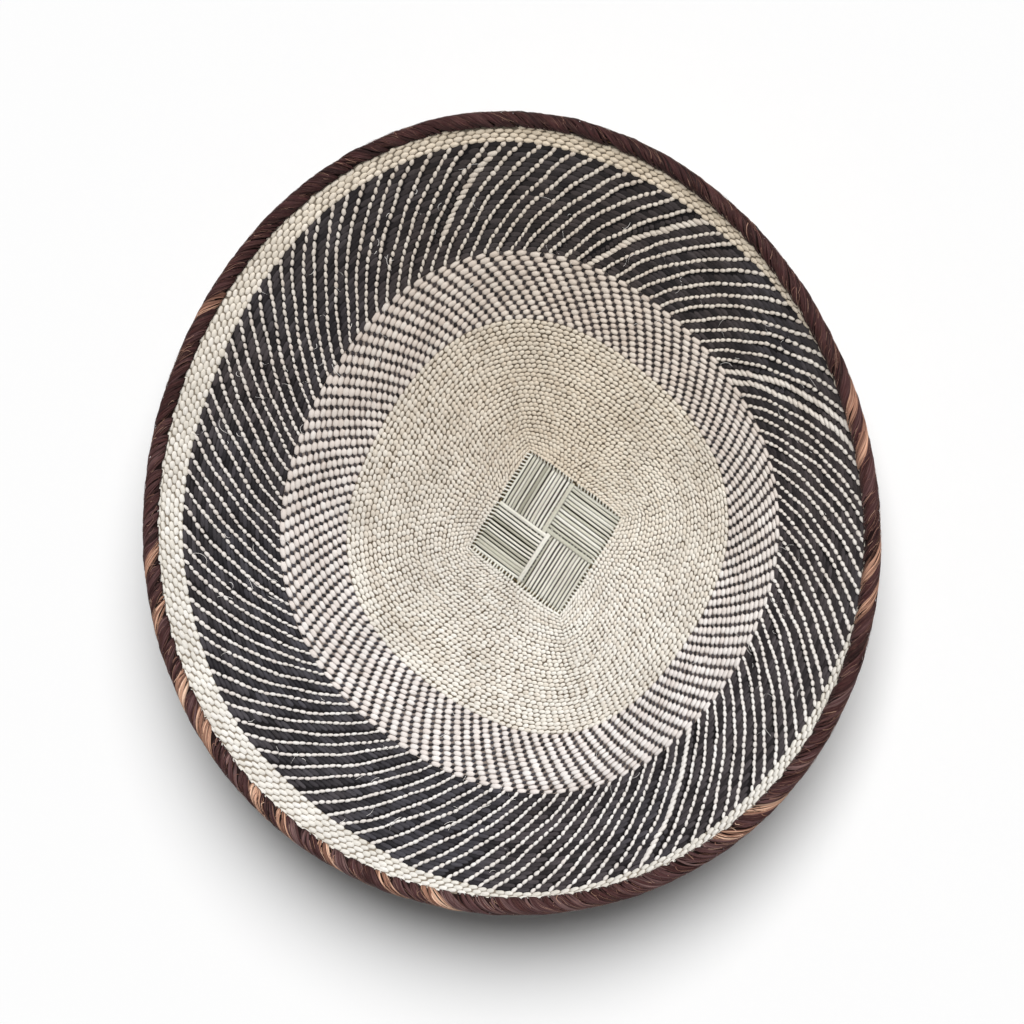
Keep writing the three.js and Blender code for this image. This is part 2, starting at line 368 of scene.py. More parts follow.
def lay_stitches(name, band, face, slot, row, angle, half, colour, strand, slant, fill,
                 high=STITCH_HIGH, low=STITCH_LOW, shear=0.2, plump=3.0):
    """A piece of many stitches. Row is a whole number; angle and half are radians."""
    side = FACES[face]
    count = len(row)
    s = STITCH_ALONG[side][None, :, None]
    t = STITCH_ACROSS[None, None, :]
    column = lambda values: np.asarray(values, float).reshape(-1, 1, 1)
    jitter = waver(STITCH_WAVER, count)
    width = STITCH_TIP + (1 - STITCH_TIP) * dome(s, plump, STITCH_EDGE)
    crest = dome(s, plump, CREST_EDGE) * dome(t, CREST_FLAT, CREST_EDGE)
    stretch = 1 + jitter("length")
    at = column(angle) + (s + shear * t * width * side) * column(half) * stretch
    at = at + column(half) * jitter("at")
    lean = slant * (1 + jitter("slant")) * side
    across = 0.5 * fill * (1 + jitter("fill")) * width * t
    sway = ROW_SWAY * smooth_noise(at, column(row)) + jitter("row")
    place = column(row) + 0.5 - lean * s + across + sway
    ring = band_ring(band, at, place)
    lift = low + (column(high) * (1 + jitter("high")) - low) * crest
    points = wall_point(at, ring, side * lift)
    length = column(half) * band_ring(band, column(angle), column(row))
    serial = each(count, 0, SERIALS)
    attributes = {
        "tone": each(count, 0, 1),
        "strand": column(strand),
        "crest": crest,
        # share of the painted shade that darkens the leaf towards one direction
        "painted_shade": towards(at, PAINTED_SHADE_AT, PAINTED_SHADE_FOCUS),
        "warm": towards(at, WARM_AT, WARM_FOCUS),
        "fibre": fibre_map(s * length, t * STITCH_FIBRES, serial),
    }
    piece = grid_mesh(f"{name}_{face}", points, attributes, flip=side < 0)
    dress(piece, colour, slot, f"weft_{band}_{face}")


# Odd factors that scatter a sine, so that neighbours get unlike values.
PIECE_SCATTER = 12.9898
ROW_SCATTER = 78.233
TWIN_SCATTER = 37.719
TONE_SCATTER = 43758.5453
LINE_SCATTER = 43.7585
ROW_STAGGER = 17  # stitches by which the strips of leaf are shifted from row to row
TWIN_STAGGER = 11  # and between the two strands of a row


def strand_tone(row, number, run):
    """A tone from 0 to 1 that stays the same along one strip of leaf."""
    twin = number % 2
    piece = np.floor((number + ROW_STAGGER * row + TWIN_STAGGER * twin) / run).astype(int)
    wave = np.sin(piece * PIECE_SCATTER + row * ROW_SCATTER + twin * TWIN_SCATTER)
    mixed = wave * TONE_SCATTER
    return mixed - np.floor(mixed)


# Where the columns and lines run.


def spread(angle):
    once = SPREAD_ONCE * np.cos(angle - rad(SPREAD_ONCE_AT))
    twice = SPREAD_TWICE * np.cos(2 * (angle - rad(SPREAD_TWICE_AT)))
    return rad(once + twice)


def column_angle(number, ring):
    even = 2 * math.pi * number / LINES
    return rad(COLUMN_AT) + even + spread(even) + rad(COLUMN_SKEW) * (ring - CHECKER_END)


def line_course(number, ring):
    even = 2 * math.pi * number / LINES
    swing = 1 - LINE_SKEW_SWING * np.cos(even - rad(LINE_SKEW_SWING_AT))
    return rad(LINE_AT) + even + spread(even) + rad(LINE_SKEW) * (ring - CHECKER_END) * swing


def line_angle(number, ring):
    """A line's course with its own small waves."""
    own = np.sin(number * PIECE_SCATTER) * LINE_SCATTER
    wave = 0
    for length, share, high in LINE_WAVES:
        wave = wave + high * np.sin(ring / length + share * own)
    return line_course(number, ring) + rad(LINE_WANDER) * wave


def even_along(band, row, count, start):
    """Directions that part one row into stitches of equal length."""
    fine = np.linspace(0, 2 * math.pi, 2881) + rad(CORNER_AT)
    path = wall_point(fine, band_ring(band, fine, row + 0.5), 0.0)
    steps = np.linalg.norm(np.diff(path, axis=0), axis=1)
    length = np.concatenate([[0], np.cumsum(steps)])
    wanted = (np.arange(count) + start) % count / count * length[-1]
    return np.interp(wanted, length, fine), length[-1] / MM / count


# Materials.


class Nodes:
    """The nodes of a material or of the world, with short calls for what they share."""

    def __init__(self, owner, shader):
        self.owner = owner
        owner.use_nodes = True
        self.tree = owner.node_tree
        self.shader = self.tree.nodes[shader]

    def plug(self, made, values):
        """Links or sets each named input of a node."""
        for key, value in values.items():
            socket = made.inputs[key]
            if isinstance(value, bpy.types.NodeSocket):
                self.tree.links.new(value, socket)
            elif socket.type == "RGBA":
                socket.default_value = (*value, 1)
            else:
                socket.default_value = value

    def node(self, kind, values, output, **settings):
        made = self.tree.nodes.new(kind)
        for key, value in settings.items():
            setattr(made, key, value)
        self.plug(made, values)
        return made.outputs[output]

    def attribute(self, name, output="Fac"):
        return self.node("ShaderNodeAttribute", {}, output, attribute_name=name)

    def place(self):
        return self.node("ShaderNodeTexCoord", {}, "Object")

    def scaled(self, vector, scale):
        return self.node("ShaderNodeMapping", {"Vector": vector, "Scale": scale}, "Vector")

    def noise(self, vector, scale, detail, roughness=0.5):
        values = {"Vector": vector, "Scale": scale, "Detail": detail, "Roughness": roughness}
        return self.node("ShaderNodeTexNoise", values, "Fac")

    def ramp(self, value, stops):
        made = self.tree.nodes.new("ShaderNodeValToRGB")
        self.plug(made, {"Fac": value})
        elements = made.color_ramp.elements
        while len(elements) < len(stops):
            elements.new(0.5)
        for element, (place, colour) in zip(elements, stops):
            element.position = place
            element.color = (*colour, 1)
        return made.outputs["Color"]

    def mix(self, share, first, second, blend="MIX"):
        values = {"Factor": share, "A": first, "B": second}
        return self.node("ShaderNodeMix", values, "Result", data_type="RGBA", blend_type=blend)

    def times(self, first, second):
        return self.mix(1.0, first, second, "MULTIPLY")

    def band(self, value, low, high):
        values = {"Value": value, "From Min": low, "From Max": high}
        return self.node("ShaderNodeMapRange", values, "Result", clamp=True)

    def maths(self, operation, first, second):
        return self.node("ShaderNodeMath", {0: first, 1: second}, "Value", operation=operation)

    def blend(self, first, first_share, second, second_share):
        """Two values added up, each times its share."""
        weighed = self.maths("MULTIPLY", first, first_share)
        return self.maths("ADD", weighed, self.maths("MULTIPLY", second, second_share))

    def bump(self, height, strength, distance):
        values = {"Height": height, "Strength": strength, "Distance": distance}
        self.plug(self.shader, {"Normal": self.node("ShaderNodeBump", values, "Normal")})

    def finish(self, colour, roughness, specular):
        values = {"Base Color": colour, "Roughness": roughness, "Specular IOR Level": specular}
        self.plug(self.shader, values)
        return self.owner


def painter(name):
    return Nodes(bpy.data.materials.new(name), "Principled BSDF")


def written(red, green, blue):
    """A colour as seen on screen, 0 to 255, as the shader wants it."""
    screen = np.array([red, green, blue]) / 255
    bright = ((screen + 0.055) / 1.055) ** 2.4
    return tuple(np.where(screen <= 0.04045, screen / 12.92, bright).tolist())


def evenly(tones):
    """Stops of a ramp, from the first tone at 0 to the last at 1."""
    return [(i / (len(tones) - 1), written(*tone)) for i, tone in enumerate(tones)]


WHITE = (1, 1, 1)
# Scales of the fibre patterns: along a strip, across it and from strip to strip.
LEAF_STREAKS = (0.35, 3.2, 1)
LEAF_THREADS = (0.8, 9, 1)
BLOTCH_SCALE = 42  # blotches about two centimetres wide
BLOTCH_TINT = (0.87, 0.86, 0.85)
PATCH_SCALE = 9  # patches about ten centimetres wide
COOL_CAST = (0.97, 0.97, 1.03)
WARM_CAST = (1.12, 1.01, 0.98)


def leaf(name, tones, crease_shade, streak=0.16, roughness=0.62, specular=0.2, bump=0.35, open_at=0.6,
         painted_shade=PAINTED_SHADE_TINT, warm=WARM_TINT, patches=False):
    """Palm-leaf strip: tones along its strips, darker in the creases as painted shade, fine fibres
    along it.
    """
    paint = painter(name)
    fibre = paint.attribute("fibre", "Vector")
    lines = paint.noise(paint.scaled(fibre, LEAF_STREAKS), 1.0, detail=3, roughness=0.6)
    fine = paint.noise(paint.scaled(fibre, LEAF_THREADS), 1.0, detail=2)
    along = paint.blend(paint.attribute("strand"), 0.62, paint.attribute("tone"), 0.38)
    colour = paint.ramp(along, evenly(tones))
    light = paint.ramp(paint.band(lines, 0.3, 0.72), [(0, (1 - streak,) * 3), (1, WHITE)])
    colour = paint.times(colour, light)
    blotch = paint.noise(paint.place(), BLOTCH_SCALE, detail=3)
    shade = paint.ramp(paint.band(blotch, 0.32, 0.62), [(0, BLOTCH_TINT), (1, WHITE)])
    colour = paint.times(colour, shade)
    # Painted shade: the crease colour where a stitch's crest falls away.
    depth = paint.band(paint.attribute("crest"), 0.0, open_at)
    colour = paint.mix(depth, written(*crease_shade), colour)
    if patches:
        wide = paint.noise(paint.place(), PATCH_SCALE, detail=2)
        cast = paint.ramp(paint.band(wide, 0.4, 0.6), [(0, COOL_CAST), (1, WARM_CAST)])
        colour = paint.times(colour, cast)
    # The first tint is painted shade towards one direction; the warm tint warms another.
    for share, tint in (("painted_shade", painted_shade), ("warm", warm)):
        if tint:
            colour = paint.mix(paint.attribute(share), colour, paint.times(colour, tint))
    paint.bump(paint.blend(lines, 0.7, fine, 0.3), bump, distance=0.00025)
    return paint.finish(colour, roughness, specular)


CREAM_TONES = [(235, 226, 213), (243, 236, 225), (248, 243, 234), (252, 248, 240)]
CHECKER_TONES = [(239, 229, 223), (247, 240, 236), (252, 248, 245)]
BORDER_TONES = [(231, 226, 216), (240, 236, 228), (247, 244, 239)]
BORDER_WARM_TINT = (1.0, 0.89, 0.75)
LINE_TONES = [(236, 228, 222), (246, 241, 236), (252, 249, 246)]
CHARCOAL_TONES = [(30, 28, 31), (46, 44, 47), (83, 81, 85), (50, 47, 48)]

# The colour after each list of tones is painted shade in the stitches' creases.
CREAM = leaf("cream_leaf", CREAM_TONES, (114, 102, 85), open_at=0.55)
CHECKER_CREAM = leaf("checker_cream_leaf", CHECKER_TONES, (112, 98, 92), open_at=0.7)
BORDER_CREAM = leaf("border_cream_leaf", BORDER_TONES, (122, 112, 100),
                    painted_shade=None, warm=BORDER_WARM_TINT)
LINE_CREAM = leaf("line_cream_leaf", LINE_TONES, (96, 86, 80))
CHARCOAL = leaf("charcoal_leaf", CHARCOAL_TONES, (18, 16, 18),
                streak=0.5, roughness=0.6, specular=0.14, patches=True)

BACKING_SCALE = 900  # flecks about a millimetre wide


def backing(name, colour, flecks):
    """The strands behind the stitches, seen only between them, in a colour of painted shade."""
    paint = painter(name)
    grain = paint.noise(paint.place(), BACKING_SCALE, detail=2)
    mixed = paint.mix(grain, written(*colour), written(*flecks))
    paint.bump(grain, strength=0.3, distance=0.0003)
    return paint.finish(mixed, roughness=0.85, specular=0.1)


# Painted shade: the colours seen in the gaps between stitches.
CREAM_SHADE = backing("cream_shade", (110, 98, 82), (86, 75, 62))
BORDER_SHADE = backing("border_shade", (148, 138, 124), (116, 106, 93))
CHECKER_SHADE = backing("checker_shade", (150, 138, 130), (118, 107, 100))
DARK_SHADE = backing("dark_shade", (28, 25, 26), (18, 16, 17))


def core(band, face, shade, slot):
    """The closed layer of strands behind one band's stitches, coloured as painted shade."""
    side = FACES[face]
    angle = ROUND[None, :, None] + rad(CORNER_AT)
    rows = BANDS[band][2]
    last = rows - 0.5 if band == "border" else rows
    place = np.linspace(0, last, rows + 1)[None, None, :]
    ring = np.minimum(band_ring(band, angle, place), WALL_EDGE)
    points = wall_point(angle + 0 * place, ring, side * CORE_DEPTH)
    piece = grid_mesh(f"{band}_core_{face}", points, {}, flip=side < 0)
    dress(piece, shade, slot, f"weft_{band}_{face}")


CENTRE_SPLIT = 18  # the rows before this one are one piece, and the rest are another
CORNERS = 4  # new warps come in at the base's corners, so a row gains stitches in fours
CENTRE_STAGGER = 0.22  # how far each row starts after the one below, in stitches
PLAIN_RUN = 46  # stitches that one strip of leaf lasts in the plain rows
PATTERN_RUN = 23  # and in the patterned ones
# How long a stitch is in its share of the row. Over 1, it slips under its neighbours.
LAPS = {"centre": 1.07, "checker": 1.06, "square": 1.3, "charcoal": 1.08, "border": 0.97}


def centre_stitches(face):
    parts = {"low": range(0, CENTRE_SPLIT), "high": range(CENTRE_SPLIT, CENTRE_ROWS)}
    for part, rows in parts.items():
        row, angle, half, strand = [], [], [], []
        for i in rows:
            added = round((CENTRE_STITCHES - BASE_WARPS) / CORNERS * i / (CENTRE_ROWS - 1))
            count = BASE_WARPS + CORNERS * added
            start = 0.5 + CENTRE_STAGGER * i + random.normal(0, 0.12)
            at, pitch = even_along("centre", i, count, start)
            ring = band_ring("centre", at, i + 0.5)
            row += [np.full(count, i)]
            angle += [at]
            half += [0.5 * pitch * LAPS["centre"] / row_radius(at, ring)]
            strand += [strand_tone(i, np.arange(count), PLAIN_RUN)]
        row, angle, half, strand = (np.concatenate(x) for x in (row, angle, half, strand))
        lay_stitches(f"centre_stitches_{part}", "centre", face, "weft_cream", row, angle, half,
                     CREAM, strand, slant=0.27, fill=1.03, shear=0.26, plump=2.2)


def grown(row, number):
    """Rows and numbers of a full set of stitches as two flat lists."""
    both = np.meshgrid(row, number, indexing="ij")
    return both[0].reshape(-1), both[1].reshape(-1)


LINE_PITCH = 2 * math.pi / LINES
LONG_SHARE = 0.72  # the long stitch's share of a column; a short one takes the rest
LAST_LONG_SHARE = 0.8  # the same in the checkered ring's outermost row


def checker_stitches(face):
    row, number = grown(np.arange(CHECKER_ROWS), np.arange(LINES))
    ring = CENTRE_END + (CHECKER_END - CENTRE_END) * (row + 0.5) / CHECKER_ROWS
    at = column_angle(number, ring)
    strand = strand_tone(row, number, PATTERN_RUN)
    outermost = row == CHECKER_ROWS - 1
    share = np.where(outermost, LAST_LONG_SHARE, LONG_SHARE)
    half = 0.5 * LINE_PITCH * share * LAPS["checker"]
    high = STITCH_HIGH + np.where(outermost, 0.2, 0.05)
    lay_stitches("checker_cream", "checker", face, "weft_checker", row, at, half, CHECKER_CREAM,
                 strand, slant=0.24, fill=1.2, high=high, plump=2.5)
    at = at + LINE_PITCH / 2
    half = 0.5 * LINE_PITCH * (1 - LONG_SHARE) * LAPS["square"]
    lay_stitches("checker_dark", "checker", face, "weft_charcoal", row, at, half, CHARCOAL,
                 strand, slant=0.2, fill=0.84, high=STITCH_HIGH - 0.3, shear=0.1, plump=4)


# Lines that are twice as thick: direction at the inner edge, and the first and last row.
THICK_LINES = [(35.5, 0, 22), (75.3, 0, 22), (111, 5, 20), (312.5, 0, 21)]
THICK_LENGTH = 2.5  # a thick line's stitch, in short stitches
THIN_LENGTH = 1.24
THICK_TAKES = 1.4  # what a thick line takes off the charcoal stitch beside it


def thick_stitches(row, number):
    """Which stitches belong to a thick line."""
    start = np.degrees(line_angle(number, CHECKER_END)) % 360
    chosen = np.zeros(len(row), bool)
    for at, first, last in THICK_LINES:
        chosen |= (apart(start, at) < 180 / LINES) & (row >= first) & (row <= last)
    return chosen


def dark_stitches(face):
    row, number = grown(np.arange(DARK_ROWS), np.arange(LINES))
    at = line_angle(number, CHECKER_END)
    # A stitch's direction and its ring hang on each other, and settle in a few rounds.
    for _ in range(3):
        at = line_angle(number, band_ring("dark", at, row + 0.5))
    strand = strand_tone(row, number, PATTERN_RUN)
    thick = thick_stitches(row, number)
    short = LINE_PITCH * (1 - LONG_SHARE)
    half = 0.5 * np.where(thick, THICK_LENGTH * short, THIN_LENGTH * short)
    lay_stitches("line_stitches", "dark", face, "weft_charcoal", row, at, half, LINE_CREAM,
                 strand, slant=0.4, fill=1.08, high=STITCH_HIGH + 0.22, shear=0.1, plump=2.2)
    at = at + LINE_PITCH / 2
    long = LINE_PITCH * LONG_SHARE
    half = 0.5 * np.where(thick, long - THICK_TAKES * short, long) * LAPS["charcoal"]
    lay_stitches("charcoal_stitches", "dark", face, "weft_charcoal", row, at, half, CHARCOAL,
                 strand, slant=0.3, fill=1.1, high=STITCH_HIGH - 0.2, low=STITCH_LOW + 0.2)


BORDER_HIDDEN = 0.5  # stitches this near to the wall's edge lie under the rim


def border_stitches(face):
    row, number = grown(np.arange(BORDER_ROWS), np.arange(2 * LINES))
    course = lambda column: line_course(column / 2, CHECKER_END + DARK_BAND_WIDTH)
    pitch = 0.5 * (course(number + 1) - course(number - 1))
    at = course(number) + 0.5 * pitch * row
    ring = band_ring("border", at, row + 0.5)
    shown = ring < WALL_EDGE - BORDER_HIDDEN
    row, number, at, pitch = row[shown], number[shown], at[shown], pitch[shown]
    half = 0.5 * pitch * LAPS["border"]
    strand = strand_tone(row, number, PLAIN_RUN)
    lay_stitches("border_stitches", "border", face, "weft_border", row, at, half, BORDER_CREAM,
                 strand, slant=0.3, fill=1.12, shear=0.28, plump=3.4)


for face in FACES:
    core("centre", face, CREAM_SHADE, "weft_cream")
    core("checker", face, CHECKER_SHADE, "weft_checker")
    core("dark", face, DARK_SHADE, "weft_charcoal")
    core("border", face, BORDER_SHADE, "weft_border")
    centre_stitches(face)
    checker_stitches(face)
    dark_stitches(face)
    border_stitches(face)


# Base: four bundles of single strips.

# Each bundle's direction, its side of the middle, and if it climbs along its direction.
BUNDLES = {
    "a1": (45, 1, True), "a2": (45, -1, False), "b1": (135, -1, False), "b2": (135, 1, True),
}
BUNDLE_STRIPS = 14
STRIP_PITCH = (BASE_SIDE - BUNDLE_GAP) / 2 / BUNDLE_STRIPS
STRIP_ACROSS = np.array([-1, -0.86, -0.4, 0, 0.4, 0.86, 1])
STRIP_REACH = 2.5  # how far a strip runs on past the base's edge, under the first row
STRIP_FILL = 0.78  # a strip's width as a share of the pitch
INNER_STRIP_WIDER = 0.42 * BUNDLE_GAP  # the innermost strips close the middle of the base
STRIP_EDGE = 0.42  # height of a strip's edges over its underside, in strip thicknesses
STRIP_CROWN = 0.58  # how much higher its middle is
STRIP_DIVE = 0.25  # how steeply it goes down past the base's edge
CROSSING_LENGTH = 0.9
# Waves of a strip's height and of its course: millimetres, and radians per millimetre.
HEIGHT_WAVE = (0.04, 0.35)
COURSE_WAVE = (0.12, 0.07)
PHASES = 6.3  # a wave starts anywhere within about one turn
STRIP_WAVER = {"middle": 0.06, "width": 0.1, "high": 0.05}

STRIP_TONES = [(168, 166, 149), (216, 213, 197), (239, 236, 224), (246, 244, 234)]
# The colour after the tones is painted shade in the strips' creases.
STRIP_LEAF = leaf("strip_leaf", STRIP_TONES, (84, 78, 60), streak=0.2, roughness=0.55,
                  specular=0.3, bump=0.5, painted_shade=None, warm=None)
# Painted shade for the room between the strips and the groove round the base.
STRIP_SHADE = backing("strip_shade", (54, 48, 36), (38, 33, 25))


def base_frame(x, y, z, run):
    """Points given along and across a strip, turned to the plate's frame, in metres."""
    turn = rad(CORNER_AT + run)
    along = x * np.cos(turn) - y * np.sin(turn)
    across = x * np.sin(turn) + y * np.cos(turn)
    flat = np.stack([along, across, z + 0 * x], axis=-1)
    return (flat + BASE_AT) * MM


def strip_bundle(name, run, side, climbs):
    """Fourteen strips along x, turned to their direction."""
    end = BASE_SIDE / 2
    s = (np.linspace(-1, 1, 15) * (end + STRIP_REACH))[None, :, None]
    t = STRIP_ACROSS[None, None, :]
    number = np.arange(BUNDLE_STRIPS)[:, None, None]
    jitter = waver(STRIP_WAVER, BUNDLE_STRIPS)
    wave = lambda high, turns: high * np.sin(s * turns + PHASES * each(BUNDLE_STRIPS, 0, 1))
    middle = side * (BUNDLE_GAP / 2 + (number + 0.5) * STRIP_PITCH) + jitter("middle")
    half = 0.5 * STRIP_PITCH * STRIP_FILL * (1 + jitter("width"))
    wider = np.where(number == 0, 0.5 * INNER_STRIP_WIDER, 0)
    middle = middle - side * wider
    half = half + wider
    sign = 1 if climbs else -1
    share = 1 / (1 + np.exp(-sign * s / CROSSING_LENGTH))
    lift = (STRIP_THICKNESS + CLEARANCE) * share
    crown = dome(t, 2.4, 0.5)
    top = lift + STRIP_THICKNESS * (STRIP_EDGE + STRIP_CROWN * crown) + jitter("high")
    dive = np.clip(np.abs(s) - end, 0, None)
    top = top - STRIP_DIVE * dive + wave(*HEIGHT_WAVE)
    y = middle + half * t + wave(*COURSE_WAVE)
    points = base_frame(s, y, top, run)
    serial = each(BUNDLE_STRIPS, 0, SERIALS)
    attributes = {
        "tone": each(BUNDLE_STRIPS, 0, 1),
        "strand": each(BUNDLE_STRIPS, 0, 1),
        "crest": crown,
        "fibre": fibre_map(s, t * 1.1, serial),
    }
    piece = grid_mesh(name, points, attributes, flip=True)
    thick = piece.modifiers.new("thickness", "SOLIDIFY")
    thick.thickness = 0.5 * MM
    thick.offset = -1
    return piece


COMB_ACROSS = np.array([-1, -0.6, 0, 0.6, 1])
COMB_INSIDE = 1.0  # how far inside the base's edge a strip end begins
COMB_LENGTH = COMB_REACH + 2.6
COMB_SLANT = 0.5  # how far it drifts sideways along its length
COMB_HALF = 0.62
COMB_TAPER = 0.25
COMB_FOOT = 1.9
COMB_CLIMB = 1.9
COMB_DIP = 1.6  # how far its last quarter turns down again
COMB_DIP_FROM = 0.75
COMB_CROWN = 0.5
COMB_WAVER = {"place": 0.12, "width": 0.1, "rise": 0.08}


def strip_ends():
    """The comb of strip ends that stands between the base and the first row."""
    place = BUNDLE_GAP / 2 + (np.arange(BUNDLE_STRIPS) + 0.5) * STRIP_PITCH
    place = np.concatenate([-place, place])
    s = np.linspace(0, 1, 6)[None, :, None]
    t = COMB_ACROSS[None, None, :]
    crown = dome(t, 2.2, 0.5)
    jitter = waver(COMB_WAVER, len(place))
    grids = []
    for quarter in range(4):
        out = BASE_SIDE / 2 - COMB_INSIDE + s * COMB_LENGTH
        across = place[:, None, None] + jitter("place") + COMB_SLANT * (s - 0.3)
        half = COMB_HALF * (1 + jitter("width")) * (1 - COMB_TAPER * s)
        dip = COMB_DIP * np.clip(s - COMB_DIP_FROM, 0, 1) / (1 - COMB_DIP_FROM)
        rise = COMB_FOOT + COMB_CLIMB * np.clip(s * 1.3, 0, 1) ** 0.8
        rise = rise - dip + jitter("rise")
        x = out + 0 * t + 0 * across
        grids.append(base_frame(x, across + half * t, rise + COMB_CROWN * crown, 45 + 90 * quarter))
    points = np.concatenate(grids)
    count = len(points)
    attributes = {
        "tone": each(count, *PALE_TONES),
        "strand": each(count, *PALE_TONES),
        "crest": crown,
        "fibre": fibre_map(s * 4, t, each(count, 0, SERIALS)),
    }
    piece = grid_mesh("strip_ends", points, attributes, flip=True)
    dress(piece, STRIP_LEAF, "palm_strip")


# Across the painted-shade sheet in the groove round the base: how far out from the base's edge, and
# how high.
GROOVE_OUT = [-1.2, 0.1, 0.9, COMB_REACH + 1.2]
GROOVE_HIGH = [1.35, 1.9, 2.9, 3.2]


def base_shade():
    """Sheets of painted shade: the dark room between the crossing strips, and the groove round the
    base.
    """
    sheet = np.linspace(-1, 1, 9) * (BASE_SIDE / 2 - 0.4)
    x, y = np.meshgrid(sheet, sheet, indexing="ij")
    middle = base_frame(x, y, STRIP_THICKNESS + CLEARANCE / 2, 45)[None]
    piece = grid_mesh("base_shade", middle, {}, flip=True)
    dress(piece, STRIP_SHADE, "palm_strip")
    angle = ROUND[:, None] + rad(CORNER_AT)
    radius = square_radius(angle) + np.array(GROOVE_OUT)[None, :]
    height = np.array(GROOVE_HIGH)[None, :] + 0 * radius
    flat = np.stack([radius * np.cos(angle), radius * np.sin(angle), height], axis=-1)
    piece = grid_mesh("base_groove_shade", ((flat + BASE_AT) * MM)[None], {}, flip=False)
    dress(piece, STRIP_SHADE, "palm_strip")


for name, (run, side, climbs) in BUNDLES.items():
    piece = strip_bundle(f"plaited_strips_{name}", run, side, climbs)
    dress(piece, STRIP_LEAF, "palm_strip", *nodes_named(f"base_strips_{name}_"))
strip_ends()
base_shade()


# Rim: slanting wraps of bark over the hoop.

WRAPS = 126
WRAP_STATIONS = 24
WRAP_STRANDS = 10
WRAP_RUN = 52  # how far one wrap travels along the rim from face to face
WRAP_EVEN = 0.35  # share of that run spread evenly; the rest lies more on the outer face
WRAP_TURN = 2.6
WRAP_HALF = 0.66  # half a wrap's width in the middle, in spaces between wraps
WRAP_TIP = 0.4  # its width at its ends, as a share of that
WRAP_LAP = 0.45
WRAP_CROWN = 0.7
WRAP_SINK = 0.95
WRAP_GRIP = 0.9  # how far the wraps reach down the wall
WRAP_FIBRES = (30, 0.8)  # length and half width of a strand in the fibre pattern
# Painted shade: the wraps are darker towards one direction.
WRAP_PAINTED_SHADE = 0.55  # how much darker the wraps are towards one direction
WRAP_PAINTED_SHADE_AT = 72
WRAP_PAINTED_SHADE_FOCUS = 1.5
STRAND_ACROSS = np.array([-1, -0.4, 0.4, 1])
STRAND_WIDTH = 1.55  # in even shares of a wrap
STRAND_LIMITS = (0.4, 1.8)  # the thinnest and thickest strand, in ordinary ones
STRAND_BENDS = 1.5  # waves along one strand
STRAND_CROWN = 0.22
STRAND_SHADE = 0.25  # how light a strand's edges stay
WRAP_SHADE = 0.35  # how light a wrap's edges stay
# How far single strands stray, and how far whole wraps do; "at" is in degrees.
STRAND_WAVER = {"place": 0.08, "drift": 0.32, "bend": 0.05, "phase": 3, "width": 0.3, "lift": 0.14}
WRAP_WAVER = {"at": 0.22, "run": 0.06, "width": 0.1, "lift": 0.2}
# Round one direction the binding covers less of the wall: it lies further back and up.
SLIP_AT = 70
SLIP_FOCUS = 3
SLIP_BACK = 0.6
SLIP_UP = 0.9
# The path of a wrap: degrees past the hoop's sides, and the ends of its two legs.
PATH_LEAN = 20
LEG_IN = [1.6, 0.2, 0]
LEG_AT = [-1.0, -0.3, 0.8]
# The directions of the tan wraps.
TAN_WRAPS = [
    15.4, 19.7, 147, 185, 193, 205, 211.5, 215.5, 227, 231, 240, 251, 259, 311.5, 316.5, 351, 355.5,
]


def wrap_travel(q):
    """Where a wrap is along the rim, as a share of its run and counted from its middle."""
    share = lambda x: WRAP_EVEN * x + (1 - WRAP_EVEN) * x ** WRAP_TURN
    return share(q) - share(0.5)


def binding_path(count):
    """Points over the hoop from the inner leg to the outer one, and the way out of it."""
    shell = HOOP_CENTRE + BINDING_THICKNESS
    leg = WALL_HALF + CLEARANCE + BINDING_THICKNESS - np.array(LEG_IN)
    grip = np.array(LEG_AT) - WRAP_GRIP
    arc = np.radians(np.linspace(-PATH_LEAN, 180 + PATH_LEAN, 60))
    inward = np.concatenate([leg, shell * np.cos(arc), -leg[::-1]])
    along = np.concatenate([grip, HOOP_CENTRE + shell * np.sin(arc), grip[::-1]])
    step = np.hypot(np.diff(inward), np.diff(along))
    length = np.concatenate([[0], np.cumsum(step)])
    wanted = np.linspace(0, length[-1], count)
    x = np.interp(wanted, length, inward)
    y = np.interp(wanted, length, along)
    slope_x = np.gradient(x)
    slope_y = np.gradient(y)
    size = np.hypot(slope_x, slope_y)
    return x, y, slope_y / size, -slope_x / size


def rim_point(angle, x, y, out_x, out_y, lift):
    """A point over the hoop. On the upper side the binding covers less of the wall."""
    inner = np.clip(x / WALL_HALF, 0, 1) * towards(angle, SLIP_AT, SLIP_FOCUS)
    low = np.clip(1 - y / HOOP_CENTRE, 0, 1)
    inward = x + out_x * lift - SLIP_BACK * inner
    along = y + out_y * lift + SLIP_UP * inner * low
    return wall_point(angle + 0 * inward, WALL_EDGE + 0 * angle + 0 * inward, inward, along)


BARK_STREAKS = (0.08, 2.4, 1)
BARK_THREADS = (0.25, 7, 1)
BARK_LIGHT = [(0, (0.4, 0.36, 0.35)), (0.6, WHITE), (1, (1.75, 1.65, 1.6))]
PALE_FIBRE = (158, 128, 112)
BARK_CREASE_SHADE = (20, 10, 9)


